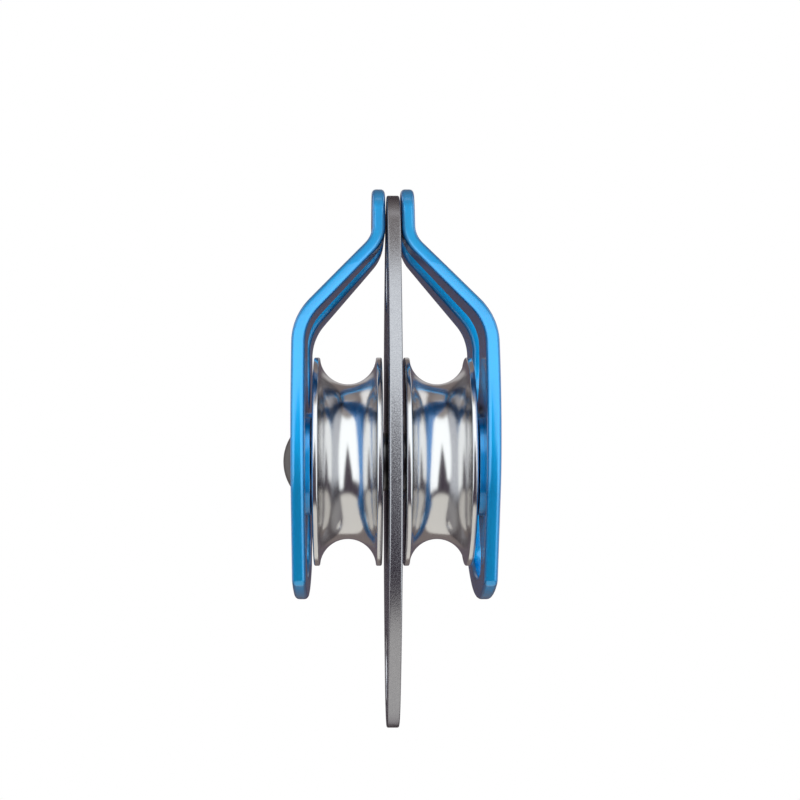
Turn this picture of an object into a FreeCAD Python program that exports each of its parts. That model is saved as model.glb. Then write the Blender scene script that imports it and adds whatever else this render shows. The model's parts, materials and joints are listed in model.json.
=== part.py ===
# Double block: two ball-bearing sheaves on one axle, a fixed centre plate with an
# attachment eye above and a becket eye below, and two bent side plates that swing open.
#
# The part hangs from its attachment eye. The origin is at the middle of that eye,
# +X runs along the axle, +Z points up and +Y points away from the reader.
# Every piece is drawn about the axle and then lowered by the height of the eye.
# The left-hand pieces are the right-hand ones, turned round by half a turn.

import FreeCAD, Part
import math
import os
import Sketcher

Vector = FreeCAD.Vector

doc = FreeCAD.newDocument("double_block")

# When edges are sorted, lengths below this count as none
TINY = 0.001

# Driving dimensions, in millimetres, degrees and whole numbers

SIZES = {
    # centre plate
    "centre_thickness": 3.0,
    "centre_half_length": 64.7,
    "centre_half_width": 36.0,
    "centre_end_radius": 22.0,
    "centre_chamfer": 0.4,
    "eye_height": 45.2,
    "eye_radius": 9.5,
    "becket_depth": 50.5,
    "becket_radius": 9.0,
    # sheave
    "sheave_radius": 25.4,
    "sheave_width": 16.4,
    "groove_radius": 6.85,
    "groove_floor": 18.9,
    "rim_chamfer": 0.3,
    "lip_width": 4.2,
    "lip_step": 1.5,
    # gaps along the axle, beside each sheave
    "inner_gap": 1.15,
    "outer_gap": 1.3,
    "running_gap": 0.05,
    # side plate
    "plate_thickness": 3.2,
    "plate_half_width": 33.0,
    "plate_bottom": 32.2,
    "plate_edge_chamfer": 0.7,
    "heel_half_width": 22.5,
    "heel_round": 12.0,
    "hip_depth": 1.7,
    "hip_round": 34.0,
    "shoulder_height": 20.0,
    "shoulder_round": 60.0,
    "neck_half_width": 19.0,
    "neck_height": 46.0,
    "neck_round": 14.0,
    "tab_radius": 12.0,
    "tab_top": 66.4,
    "tab_gap": 0.4,
    "slope_angle": 42.5,
    "bend_height": 33.1,
    "lower_bend_radius": 12.0,
    "upper_bend_radius": 6.5,
    # windows of the side plate
    "slot_radius": 10.0,
    "slot_height": 23.5,
    "slot_top_radius": 6.2,
    "slot_top": 54.6,
    "window_inner_radius": 13.0,
    "window_outer_radius": 28.4,
    "window_half_angle": 33.0,
    "window_corner": 3.5,
    # axle
    "axle_radius": 6.0,
    "head_radius": 7.8,
    "head_height": 3.05,
    "screw_radius": 4.0,
    "screw_length": 24.0,
    "screw_clearance": 0.05,
    "tap_spare": 3.0,
    "socket_width": 5.0,
    "socket_depth": 2.0,
    # bushes, washers and spacers
    "bush_wall": 1.5,
    "bush_flange_reach": 3.0,
    "washer_thickness": 1.0,
    "spacer_wall": 1.2,
    "shaft_clearance": 0.01,
    # ball bearing
    "bearing_radius": 14.0,
    "bearing_width": 8.0,
    "ball_radius": 2.381,
    "ball_count": 8,
    "race_clearance": 0.05,
    "shoulder_reach": 1.6,
    "ring_chamfer": 0.4,
    "cage_thickness": 1.2,
    "cage_width": 6.2,
    "pocket_clearance": 0.1,
    "shield_thickness": 0.4,
    "shield_inset": 0.3,
    "shield_clearance": 0.25,
    # circlip
    "clip_thickness": 1.2,
    "clip_slack": 0.05,
    "clip_depth": 0.7,
    "clip_width": 2.45,
    "clip_gap_angle": 40.0,
    "clip_lug_angle": 4.0,
    "clip_lug_radius": 1.9,
    "clip_hole_radius": 0.9,
}

sheet = doc.addObject("Spreadsheet::Sheet", "Sheet")
sheet_rows = 0


def add_cell(alias, content):
    """Write one cell in the next free row and give it an alias."""
    global sheet_rows
    sheet_rows += 1
    sheet.set("A%d" % sheet_rows, alias)
    sheet.set("B%d" % sheet_rows, content)
    sheet.setAlias("B%d" % sheet_rows, alias)


for size_name, size_value in SIZES.items():
    add_cell(size_name, str(size_value))

# Dimensions that follow from the driving ones. X positions are measured from the
# middle of the centre plate, heights from the axle.

DERIVED = {
    "centre_half": "centre_thickness / 2",
    # the oval is four arcs: this is the radius of the two long ones
    "oval_offset": "centre_half_length - centre_end_radius",
    "oval_side_radius": "(oval_offset ^ 2 + centre_half_width ^ 2 - centre_end_radius ^ 2)"
                        " / (2 * (centre_half_width - centre_end_radius))",
    "oval_join": "centre_end_radius / (oval_side_radius - centre_end_radius)",
    "oval_join_width": "oval_join * (oval_side_radius - centre_half_width)",
    "oval_join_height": "oval_offset * (1 + oval_join)",
    # stations along the axle
    "sheave_inner": "centre_half + inner_gap",
    "sheave_outer": "sheave_inner + sheave_width",
    "sheave_middle": "sheave_inner + sheave_width / 2",
    "groove_edge": "sheave_radius - rim_chamfer",
    "groove_half": "sqrt(groove_radius ^ 2 - (groove_floor + groove_radius - groove_edge) ^ 2)",
    "cheek_inner": "sheave_outer + outer_gap",
    "cheek_outer": "cheek_inner + plate_thickness",
    "bush_inner": "cheek_inner - running_gap - washer_thickness",
    "bush_shoulder": "cheek_inner - running_gap",
    "head_seat": "cheek_outer + running_gap",
    "washer_outer": "centre_half + washer_thickness",
    "bearing_inner": "sheave_inner + lip_width",
    "bearing_outer": "bearing_inner + bearing_width",
    "bearing_middle": "bearing_inner + bearing_width / 2",
    "clip_outer": "bearing_outer + clip_thickness",
    "clip_groove_outer": "clip_outer + clip_slack",
    "clip_radius": "bearing_radius + clip_depth - clip_slack",
    "clip_groove_radius": "bearing_radius + clip_depth",
    "clip_inner_radius": "clip_radius - clip_width",
    # bends of the side plate: both faces of a bend share one centre
    "slope_tan": "tan(slope_angle)",
    "half_turn_tan": "tan(slope_angle / 2)",
    "lower_outer_radius": "lower_bend_radius + plate_thickness",
    "upper_inner_radius": "upper_bend_radius + plate_thickness",
    "tab_inner": "centre_half + tab_gap",
    "tab_outer": "tab_inner + plate_thickness",
    "slope_rise": "(cheek_outer - tab_outer) / slope_tan",
    "lower_bend_start": "bend_height - lower_outer_radius * half_turn_tan",
    "upper_bend_end": "bend_height + slope_rise + upper_bend_radius * half_turn_tan",
    # where the straight sides of the tab meet its round top
    "tab_middle": "tab_top - tab_radius",
    "neck_reach": "sqrt(neck_half_width ^ 2 + (tab_middle - neck_height) ^ 2)",
    "tab_angle": "acos(tab_radius / neck_reach)"
                 " - atan((tab_middle - neck_height) / neck_half_width)",
    # where the straight sides of the eye slot meet its two round ends
    "slot_top_middle": "slot_top - slot_top_radius",
    "slot_angle": "asin((slot_radius - slot_top_radius) / (slot_top_middle - slot_height))",
    # axle, and what sits on it
    "bush_radius": "axle_radius + bush_wall",
    "bush_flange_radius": "bush_radius + bush_flange_reach",
    "spacer_radius": "axle_radius + spacer_wall",
    "dome_radius": "(head_radius ^ 2 + head_height ^ 2) / (2 * head_height)",
    "bore_radius": "axle_radius + shaft_clearance",
    "screw_tip": "head_seat - screw_length",
    "tap_end": "screw_tip - tap_spare",
    # bearing: the balls run midway between its bore and its outside
    "pitch_radius": "(axle_radius + bearing_radius) / 2",
    "inner_shoulder_radius": "pitch_radius - shoulder_reach",
    "outer_shoulder_radius": "pitch_radius + shoulder_reach",
    "race_radius": "ball_radius + race_clearance",
    "inner_race_half": "sqrt(race_radius ^ 2 - (pitch_radius - inner_shoulder_radius) ^ 2)",
    "outer_race_half": "sqrt(race_radius ^ 2 - (outer_shoulder_radius - pitch_radius) ^ 2)",
    "pocket_radius": "ball_radius + pocket_clearance",
    "cage_inner_radius": "pitch_radius - cage_thickness / 2",
    "cage_outer_radius": "pitch_radius + cage_thickness / 2",
}

for derived_name, derived_formula in DERIVED.items():
    add_cell(derived_name, "=" + derived_formula)

# A last cell works out the formulas that the sketches use
work_cell = "B%d" % (sheet_rows + 2)
doc.recompute()


def value(formula):
    """Work a formula of the sheet out and return its number."""
    sheet.set(work_cell, "=" + formula)
    sheet.recompute()
    return float(sheet.get(work_cell))


aliases = sorted(list(SIZES) + list(DERIVED), key=len, reverse=True)


def linked(formula):
    """Return the formula with each alias written as a reference to the sheet."""
    words = []
    word = ""
    for letter in formula + " ":
        if letter.isalnum() or letter == "_":
            word += letter
            continue
        words.append("Sheet." + word if word in aliases else word)
        words.append(letter)
        word = ""
    return "".join(words).strip()


def bind(feature, prop, formula):
    """Tie a property of a feature to a formula of the sheet."""
    feature.setExpression(prop, linked(formula))


# Drawing helpers

def new_body(name):
    body = doc.addObject("PartDesign::Body", name)
    body.Label = name
    return body


def new_sketch(body, name, role):
    """Put a sketch on one of the body's own origin planes."""
    plane = [item for item in body.Origin.OriginFeatures if item.Role == role][0]
    sketch = body.newObject("Sketcher::SketchObject", body.Name + "_" + name)
    sketch.AttachmentSupport = (plane, [""])
    sketch.MapMode = "FlatFace"
    return sketch


def hold(sketch, kind, arguments, formula):
    """Add a dimension to a sketch and tie it to a formula."""
    index = sketch.addConstraint(Sketcher.Constraint(kind, *arguments, value(formula)))
    sketch.setExpression("Constraints[%d]" % index, linked(formula))


def arc_between(start, end, radius, turn):
    """The short arc from start to end: turn is 1 for anticlockwise, -1 for clockwise."""
    chord = end - start
    rise = math.sqrt(max(radius ** 2 - chord.Length ** 2 / 4, 0.0))
    across = Vector(-chord.y, chord.x, 0).normalize()
    centre = start + chord * 0.5 + across * rise * turn
    circle = Part.Circle(centre, Vector(0, 0, 1), radius)
    first, last = (start, end) if turn > 0 else (end, start)
    return Part.ArcOfCircle(circle, circle.parameter(first), circle.parameter(last))


def rounded_corner(before, corner, following, radius):
    """Where a corner's rounding starts and ends, and its turn."""
    back = (before - corner).normalize()
    ahead = (following - corner).normalize()
    half_opening = back.getAngle(ahead) / 2
    reach = radius / math.tan(half_opening)
    turn = 1 if back.cross(ahead).z < 0 else -1
    return corner + back * reach, corner + ahead * reach, turn


def draw(sketch, corners, arcs=None):
    """Draw a closed outline. Corners are pairs of formulas, or three where the corner
    between two straight sides is rounded to a radius. arcs[i] = (radius, turn) bends
    the side that leaves corner i."""
    arcs = arcs or {}
    count = len(corners)
    places = [Vector(value(corner[0]), value(corner[1]), 0) for corner in corners]
    starts = list(places)
    ends = list(places)
    turns = {}
    for i, corner in enumerate(corners):
        if len(corner) == 3:
            around = (places[i - 1], places[i], places[(i + 1) % count])
            starts[i], ends[i], turns[i] = rounded_corner(*around, value(corner[2]))
    sides = []
    for i in range(count):
        start = ends[i]
        end = starts[(i + 1) % count]
        if i in arcs:
            radius, turn = arcs[i]
            side = sketch.addGeometry(arc_between(start, end, value(radius), turn))
            hold(sketch, "Radius", (side,), radius)
            sides.append((side, 1, 2) if turn > 0 else (side, 2, 1))
        else:
            side = sketch.addGeometry(Part.LineSegment(start, end))
            sides.append((side, 1, 2))
    for i, corner in enumerate(corners):
        side, start, _ = sides[i]
        before, _, end = sides[i - 1]
        if i in turns:
            bend = arc_between(starts[i], ends[i], value(corner[2]), turns[i])
            bend = sketch.addGeometry(bend)
            first, last = (1, 2) if turns[i] > 0 else (2, 1)
            sketch.addConstraint(Sketcher.Constraint("Tangent", before, end, bend, first))
            sketch.addConstraint(Sketcher.Constraint("Tangent", bend, last, side, start))
            hold(sketch, "Radius", (bend,), corner[2])
            point = sketch.addGeometry(Part.Point(places[i]), True)
            sketch.addConstraint(Sketcher.Constraint("PointOnObject", point, 1, before))
            sketch.addConstraint(Sketcher.Constraint("PointOnObject", point, 1, side))
            held = (point, 1)
        else:
            coincident = Sketcher.Constraint("Coincident", before, end, side, start)
            sketch.addConstraint(coincident)
            held = (side, start)
        hold(sketch, "DistanceX", (-1, 1, *held), corner[0])
        hold(sketch, "DistanceY", (-1, 1, *held), corner[1])


def draw_circle(sketch, across, up, radius):
    """Draw a full circle."""
    middle = Vector(value(across), value(up), 0)
    ring = sketch.addGeometry(Part.Circle(middle, Vector(0, 0, 1), value(radius)))
    hold(sketch, "DistanceX", (-1, 1, ring, 3), across)
    hold(sketch, "DistanceY", (-1, 1, ring, 3), up)
    hold(sketch, "Radius", (ring,), radius)


def pad_both_ways(body, sketch, depth):
    """Pad a sketch by half the depth to each side of its plane."""
    pad = body.newObject("PartDesign::Pad", sketch.Name + "_pad")
    pad.Profile = sketch
    pad.Midplane = True
    bind(pad, "Length", depth)
    return pad


def cut_both_ways(body, sketch, depth):
    """Cut a sketch by half the depth to each side of its plane."""
    pocket = body.newObject("PartDesign::Pocket", sketch.Name + "_cut")
    pocket.Profile = sketch
    pocket.Midplane = True
    bind(pocket, "Length", depth)
    return pocket


def turn_about_axle(body, name, corners, arcs=None):
    """Turn a half section, drawn as (distance along the axle, radius), about the axle."""
    sketch = new_sketch(body, name, "XZ_Plane")
    draw(sketch, corners, arcs)
    feature = body.newObject("PartDesign::Revolution", sketch.Name + "_turned")
    feature.Profile = sketch
    feature.ReferenceAxis = (sketch, ["H_Axis"])
    feature.Angle = 360
    return feature


def edges_where(feature, wanted):
    """Name the edges of a feature that pass a test."""
    doc.recompute()
    edges = enumerate(feature.Shape.Edges, start=1)
    return ["Edge%d" % number for number, edge in edges if wanted(edge)]


def round_edges(body, feature, wanted, radius):
    """Fillet the edges that pass the test."""
    fillet = body.newObject("PartDesign::Fillet", feature.Name + "_round")
    fillet.Base = (feature, edges_where(feature, wanted))
    bind(fillet, "Radius", radius)
    return fillet


def chamfer_edges(body, feature, wanted, size):
    """Chamfer the edges that pass the test."""
    chamfer = body.newObject("PartDesign::Chamfer", feature.Name + "_chamfer")
    chamfer.Base = (feature, edges_where(feature, wanted))
    bind(chamfer, "Size", size)
    return chamfer


def ring(body, inner, outer, bore, radius):
    """A plain turned ring between two stations along the axle."""
    corners = [(inner, bore), (outer, bore), (outer, radius), (inner, radius)]
    return turn_about_axle(body, "section", corners)


# Centre plate

def make_centre_plate():
    body = new_body("centre_plate")
    outline = new_sketch(body, "outline", "YZ_Plane")
    corners = [
        ("oval_join_width", "-oval_join_height"),
        ("oval_join_width", "oval_join_height"),
        ("-oval_join_width", "oval_join_height"),
        ("-oval_join_width", "-oval_join_height"),
    ]
    side = ("oval_side_radius", 1)
    end = ("centre_end_radius", 1)
    draw(outline, corners, {0: side, 1: end, 2: side, 3: end})
    pad_both_ways(body, outline, "centre_thickness")
    holes = new_sketch(body, "holes", "YZ_Plane")
    draw_circle(holes, "0", "eye_height", "eye_radius")
    draw_circle(holes, "0", "-becket_depth", "becket_radius")
    draw_circle(holes, "0", "0", "bore_radius")
    cut = cut_both_ways(body, holes, "centre_thickness * 2")
    face = value("centre_half")
    smallest = value("(bore_radius + becket_radius) / 2")

    def breaks(edge):
        flat = all(abs(abs(vertex.X) - face) < TINY for vertex in edge.Vertexes)
        is_bore = hasattr(edge.Curve, "Radius") and edge.Curve.Radius < smallest
        return flat and not is_bore and edge.BoundBox.XLength < TINY

    chamfer_edges(body, cut, breaks, "centre_chamfer")
    return body


# Side plate: a strip bent twice, trimmed to its outline and pierced

def make_side_plate(name):
    body = new_body(name)
    margin = "plate_thickness"
    strip = new_sketch(body, "bends", "XZ_Plane")
    slope_x = "lower_outer_radius * (1 - cos(slope_angle))"
    slope_z = "lower_outer_radius * sin(slope_angle)"
    inner_slope_x = "lower_bend_radius * (1 - cos(slope_angle))"
    inner_slope_z = "lower_bend_radius * sin(slope_angle)"
    upper_x = "upper_bend_radius * (1 - cos(slope_angle))"
    upper_z = "upper_bend_radius * sin(slope_angle)"
    upper_inner_x = "upper_inner_radius * (1 - cos(slope_angle))"
    upper_inner_z = "upper_inner_radius * sin(slope_angle)"
    corners = [
        ("cheek_outer", "-plate_bottom - " + margin),
        ("cheek_outer", "lower_bend_start"),
        ("cheek_outer - " + slope_x, "lower_bend_start + " + slope_z),
        ("tab_outer + " + upper_x, "upper_bend_end - " + upper_z),
        ("tab_outer", "upper_bend_end"),
        ("tab_outer", "tab_top + " + margin),
        ("tab_inner", "tab_top + " + margin),
        ("tab_inner", "upper_bend_end"),
        ("tab_inner + " + upper_inner_x, "upper_bend_end - " + upper_inner_z),
        ("cheek_inner - " + inner_slope_x, "lower_bend_start + " + inner_slope_z),
        ("cheek_inner", "lower_bend_start"),
        ("cheek_inner", "-plate_bottom - " + margin),
    ]
    bends = {
        1: ("lower_outer_radius", 1),
        3: ("upper_bend_radius", -1),
        7: ("upper_inner_radius", 1),
        9: ("lower_bend_radius", -1),
    }
    draw(strip, corners, bends)
    pad_both_ways(body, strip, "2 * (plate_half_width + plate_thickness)")

    # what lies outside this outline is trimmed off
    trim = new_sketch(body, "trim", "YZ_Plane")
    low = "-plate_bottom - 2 * plate_thickness"
    high = "tab_top + 2 * plate_thickness"
    wide = "plate_half_width + 2 * plate_thickness"
    draw(trim, [("-(%s)" % wide, low), (wide, low), (wide, high), ("-(%s)" % wide, high)])
    tab_x = "tab_radius * cos(tab_angle)"
    tab_z = "tab_middle + tab_radius * sin(tab_angle)"
    corners = [
        ("heel_half_width", "-plate_bottom", "heel_round"),
        ("plate_half_width", "-hip_depth", "hip_round"),
        ("plate_half_width", "shoulder_height", "shoulder_round"),
        ("neck_half_width", "neck_height", "neck_round"),
        (tab_x, tab_z),
        ("-(%s)" % tab_x, tab_z),
        ("-neck_half_width", "neck_height", "neck_round"),
        ("-plate_half_width", "shoulder_height", "shoulder_round"),
        ("-plate_half_width", "-hip_depth", "hip_round"),
        ("-heel_half_width", "-plate_bottom", "heel_round"),
    ]
    draw(trim, corners, {4: ("tab_radius", 1)})
    through = "2 * (cheek_outer + plate_thickness)"
    cut_both_ways(body, trim, through)

    def through_edge(edge, width, height):
        box = edge.BoundBox
        if box.XLength < value("plate_thickness") / 2:
            return False
        if box.YLength > TINY or box.ZLength > TINY:
            return False
        return abs(abs(box.YMin) - width) < TINY and abs(box.ZMin - height) < TINY

    # the eye slot, the lower window and the bore for the bush
    windows = new_sketch(body, "windows", "YZ_Plane")
    low_x = "slot_radius * cos(slot_angle)"
    low_z = "slot_height + slot_radius * sin(slot_angle)"
    top_x = "slot_top_radius * cos(slot_angle)"
    top_z = "slot_top_middle + slot_top_radius * sin(slot_angle)"
    draw(windows, [
        (low_x, low_z),
        (top_x, top_z),
        ("-(%s)" % top_x, top_z),
        ("-(%s)" % low_x, low_z),
        ("0", "slot_height - slot_radius"),
    ], {
        1: ("slot_top_radius", 1),
        3: ("slot_radius", 1),
        4: ("slot_radius", 1),
    })
    inner_x = "window_inner_radius * sin(window_half_angle)"
    inner_z = "-window_inner_radius * cos(window_half_angle)"
    outer_x = "window_outer_radius * sin(window_half_angle)"
    outer_z = "-window_outer_radius * cos(window_half_angle)"
    draw(windows, [
        ("-(%s)" % outer_x, outer_z),
        (outer_x, outer_z),
        (inner_x, inner_z),
        ("-(%s)" % inner_x, inner_z),
    ], {
        0: ("window_outer_radius", 1),
        2: ("window_inner_radius", -1),
    })
    draw_circle(windows, "0", "0", "bush_radius + running_gap")
    pierced = cut_both_ways(body, windows, through)
    outer_corner = (value(outer_x), value(outer_z))
    inner_corner = (value(inner_x), value(inner_z))
    corners_round = round_edges(
        body, pierced,
        lambda edge: through_edge(edge, *outer_corner) or through_edge(edge, *inner_corner),
        "window_corner")

    # break the edges of both faces, apart from the bore's
    bore = value("bush_radius + running_gap")
    bottom = -value("plate_bottom")

    def face_edge(edge):
        box = edge.BoundBox
        across = box.YLength < TINY and box.ZLength < TINY
        bend_line = box.XLength < TINY and box.ZLength < TINY and box.ZMin > bottom + TINY
        is_bore = hasattr(edge.Curve, "Radius") and abs(edge.Curve.Radius - bore) < TINY
        return not (across or bend_line or is_bore)

    chamfer_edges(body, corners_round, face_edge, "plate_edge_chamfer")
    return body


# Axle: a headed pin, tapped from its far end, and the screw that closes it

def make_axle_pin():
    body = new_body("axle_pin")
    corners = [
        ("-head_seat - head_height", "0"),
        ("-head_seat", "head_radius"),
        ("-head_seat", "axle_radius"),
        ("head_seat", "axle_radius"),
        ("head_seat", "screw_radius + screw_clearance"),
        ("tap_end", "screw_radius + screw_clearance"),
        ("tap_end - screw_radius", "0"),
    ]
    turn_about_axle(body, "section", corners, {0: ("dome_radius", -1)})
    return body


def make_axle_screw():
    body = new_body("axle_screw")
    corners = [
        ("screw_tip", "0"),
        ("screw_tip", "screw_radius"),
        ("head_seat", "screw_radius"),
        ("head_seat", "head_radius"),
        ("head_seat + head_height", "0"),
    ]
    turn_about_axle(body, "section", corners, {3: ("dome_radius", -1)})
    cut_socket(body, "head_seat + head_height")
    return body


def cut_socket(body, face):
    """Cut a socket for a six-sided key into the head, from its outer face."""
    sketch = new_sketch(body, "socket", "YZ_Plane")
    corners = []
    for number in range(6):
        angle = "(60 * %d)" % number
        corners.append(("socket_width / sqrt(3) * cos" + angle, "socket_width / sqrt(3) * sin" + angle))
    draw(sketch, corners)
    lift(body, sketch, face)
    pocket = body.newObject("PartDesign::Pocket", body.Name + "_socket_cut")
    pocket.Profile = sketch
    bind(pocket, "Length", "socket_depth")


# Pieces that each side has. They are drawn on the right-hand side.

def make_plate_bush(name):
    body = new_body(name)
    corners = [
        ("bush_inner", "bore_radius"),
        ("head_seat", "bore_radius"),
        ("head_seat", "bush_radius"),
        ("bush_shoulder", "bush_radius"),
        ("bush_shoulder", "bush_flange_radius"),
        ("bush_inner", "bush_flange_radius"),
    ]
    turn_about_axle(body, "section", corners)
    return body


def make_inner_washer(name):
    body = new_body(name)
    ring(body, "centre_half", "washer_outer", "bore_radius", "spacer_radius")
    return body


def make_inner_spacer(name):
    body = new_body(name)
    ring(body, "washer_outer", "bearing_inner", "bore_radius", "spacer_radius")
    return body


def make_outer_spacer(name):
    body = new_body(name)
    ring(body, "bearing_outer", "bush_inner", "bore_radius", "spacer_radius")
    return body


def make_sheave(name):
    body = new_body(name)
    corners = [
        ("sheave_inner", "bearing_radius - lip_step"),
        ("bearing_inner", "bearing_radius - lip_step"),
        ("bearing_inner", "bearing_radius"),
        ("bearing_outer", "bearing_radius"),
        ("bearing_outer", "clip_groove_radius"),
        ("clip_groove_outer", "clip_groove_radius"),
        ("clip_groove_outer", "bearing_radius"),
        ("sheave_outer", "bearing_radius"),
        ("sheave_outer", "groove_edge"),
        ("sheave_outer - rim_chamfer", "sheave_radius"),
        ("sheave_middle + groove_half + rim_chamfer", "sheave_radius"),
        ("sheave_middle + groove_half", "groove_edge"),
        ("sheave_middle", "groove_floor"),
        ("sheave_middle - groove_half", "groove_edge"),
        ("sheave_middle - groove_half - rim_chamfer", "sheave_radius"),
        ("sheave_inner + rim_chamfer", "sheave_radius"),
        ("sheave_inner", "groove_edge"),
    ]
    groove = ("groove_radius", -1)
    turn_about_axle(body, "section", corners, {11: groove, 12: groove})
    return body


def make_bearing_outer_ring(name):
    body = new_body(name)
    corners = [
        ("bearing_inner", "outer_shoulder_radius"),
        ("bearing_middle - outer_race_half", "outer_shoulder_radius"),
        ("bearing_middle + outer_race_half", "outer_shoulder_radius"),
        ("bearing_outer", "outer_shoulder_radius"),
        ("bearing_outer", "bearing_radius - ring_chamfer"),
        ("bearing_outer - ring_chamfer", "bearing_radius"),
        ("bearing_inner + ring_chamfer", "bearing_radius"),
        ("bearing_inner", "bearing_radius - ring_chamfer"),
    ]
    turn_about_axle(body, "section", corners, {1: ("race_radius", -1)})
    return body


def make_bearing_inner_ring(name):
    body = new_body(name)
    corners = [
        ("bearing_inner", "bore_radius"),
        ("bearing_outer", "bore_radius"),
        ("bearing_outer", "inner_shoulder_radius"),
        ("bearing_middle + inner_race_half", "inner_shoulder_radius"),
        ("bearing_middle - inner_race_half", "inner_shoulder_radius"),
        ("bearing_inner", "inner_shoulder_radius"),
    ]
    turn_about_axle(body, "section", corners, {3: ("race_radius", -1)})
    return body


def repeat_about_axle(body, feature, count):
    """Repeat a feature evenly round the axle."""
    pattern = body.newObject("PartDesign::PolarPattern", feature.Name + "_pattern")
    pattern.Originals = [feature]
    axis = [item for item in body.Origin.OriginFeatures if item.Role == "X_Axis"][0]
    pattern.Axis = (axis, [""])
    pattern.Angle = 360
    bind(pattern, "Occurrences", count)
    body.Tip = pattern
    return pattern


def make_bearing_balls(name):
    """One node for the whole set: separate solids in a compound."""
    balls = []
    for number in range(int(value("ball_count"))):
        ball = doc.addObject("Part::Sphere", "%s_%d" % (name, number + 1))
        bind(ball, "Radius", "ball_radius")
        bind(ball, "Placement.Base.x", "bearing_middle")
        angle = "360 * %d / ball_count" % number
        bind(ball, "Placement.Base.y", "pitch_radius * sin(%s)" % angle)
        bind(ball, "Placement.Base.z", "pitch_radius * cos(%s)" % angle)
        balls.append(ball)
    group = doc.addObject("Part::Compound", name)
    group.Label = name
    group.Links = balls
    return group


def make_bearing_cage(name):
    body = new_body(name)
    half = "cage_width / 2"
    ring(body, "bearing_middle - " + half, "bearing_middle + " + half,
         "cage_inner_radius", "cage_outer_radius")
    pocket_sketch = new_sketch(body, "pocket", "XY_Plane")
    draw_circle(pocket_sketch, "bearing_middle", "0", "pocket_radius")
    pocket = body.newObject("PartDesign::Pocket", body.Name + "_pocket_cut")
    pocket.Profile = pocket_sketch
    pocket.Reversed = True
    bind(pocket, "Length", "2 * pitch_radius")
    repeat_about_axle(body, pocket, "ball_count")
    return body


def make_shield(name, start):
    body = new_body(name)
    ring(body, start, start + " + shield_thickness",
         "inner_shoulder_radius + shield_clearance", "outer_shoulder_radius")
    return body


def make_outer_shield(name):
    return make_shield(name, "bearing_outer - shield_inset - shield_thickness")


def make_inner_shield(name):
    return make_shield(name, "bearing_inner + shield_inset")


def make_circlip(name):
    """A sprung ring with a gap at the bottom and an eye in each end."""
    body = new_body(name)
    sketch = new_sketch(body, "outline", "YZ_Plane")
    half_gap = "(clip_gap_angle / 2)"
    outer_x = "clip_radius * sin%s" % half_gap
    outer_z = "-clip_radius * cos%s" % half_gap
    inner_x = "clip_inner_radius * sin%s" % half_gap
    inner_z = "-clip_inner_radius * cos%s" % half_gap
    draw(sketch, [
        (outer_x, outer_z),
        ("clip_radius", "0"),
        ("0", "clip_radius"),
        ("-clip_radius", "0"),
        ("-(%s)" % outer_x, outer_z),
        ("-(%s)" % inner_x, inner_z),
        ("-clip_inner_radius", "0"),
        ("0", "clip_inner_radius"),
        ("clip_inner_radius", "0"),
        (inner_x, inner_z),
    ], {
        0: ("clip_radius", 1),
        1: ("clip_radius", 1),
        2: ("clip_radius", 1),
        3: ("clip_radius", 1),
        5: ("clip_inner_radius", -1),
        6: ("clip_inner_radius", -1),
        7: ("clip_inner_radius", -1),
        8: ("clip_inner_radius", -1),
    })
    lift(body, sketch, "bearing_outer")
    pad = body.newObject("PartDesign::Pad", name + "_pad")
    pad.Profile = sketch
    bind(pad, "Length", "clip_thickness")

    lug_sketch = new_sketch(body, "lugs", "YZ_Plane")
    reach = "(clip_radius - clip_lug_radius)"
    lug_angle = "(clip_gap_angle / 2 + clip_lug_angle)"
    lug_x = "%s * sin%s" % (reach, lug_angle)
    lug_z = "-%s * cos%s" % (reach, lug_angle)
    draw_circle(lug_sketch, lug_x, lug_z, "clip_lug_radius")
    draw_circle(lug_sketch, "-(%s)" % lug_x, lug_z, "clip_lug_radius")
    lift(body, lug_sketch, "bearing_outer")
    lugs = body.newObject("PartDesign::Pad", name + "_lugs_pad")
    lugs.Profile = lug_sketch
    bind(lugs, "Length", "clip_thickness")

    hole_sketch = new_sketch(body, "eyes", "YZ_Plane")
    draw_circle(hole_sketch, lug_x, lug_z, "clip_hole_radius")
    draw_circle(hole_sketch, "-(%s)" % lug_x, lug_z, "clip_hole_radius")
    cut_both_ways(body, hole_sketch, "4 * bearing_outer")
    return body


def lift(body, sketch, station):
    """Move a sketch on the YZ plane along the axle."""
    bind(sketch, "AttachmentOffset.Base.z", station)


# Build everything

SIDE_PIECES = {
    "side_plate": make_side_plate,
    "plate_bush": make_plate_bush,
    "outer_spacer": make_outer_spacer,
    "inner_spacer": make_inner_spacer,
    "inner_washer": make_inner_washer,
    "sheave": make_sheave,
    "bearing_outer_ring": make_bearing_outer_ring,
    "bearing_inner_ring": make_bearing_inner_ring,
    "bearing_balls": make_bearing_balls,
    "bearing_cage": make_bearing_cage,
    "outer_shield": make_outer_shield,
    "inner_shield": make_inner_shield,
    "circlip": make_circlip,
}

pieces = [make_centre_plate(), make_axle_pin(), make_axle_screw()]
turned_round = []
for side in ("left", "right"):
    for piece_name, make in SIDE_PIECES.items():
        piece = make(side + "_" + piece_name)
        pieces.append(piece)
        if side == "left":
            turned_round.append(piece)

for piece in pieces:
    if piece in turned_round:
        piece.Placement = FreeCAD.Placement(Vector(), FreeCAD.Rotation(Vector(0, 0, 1), 180))
    bind(piece, "Placement.Base.z", "-eye_height")

doc.recompute()

# Check everything, then write one file for each piece

faults = []
for item in doc.Objects:
    if "Invalid" in item.State or "Error" in item.State:
        faults.append("%s: %s" % (item.Name, item.State))
for piece in pieces:
    shape = piece.Shape
    if shape.isNull() or not shape.isValid():
        faults.append("%s: bad shape" % piece.Label)
if faults:
    raise RuntimeError("failed: " + "; ".join(faults))

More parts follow.
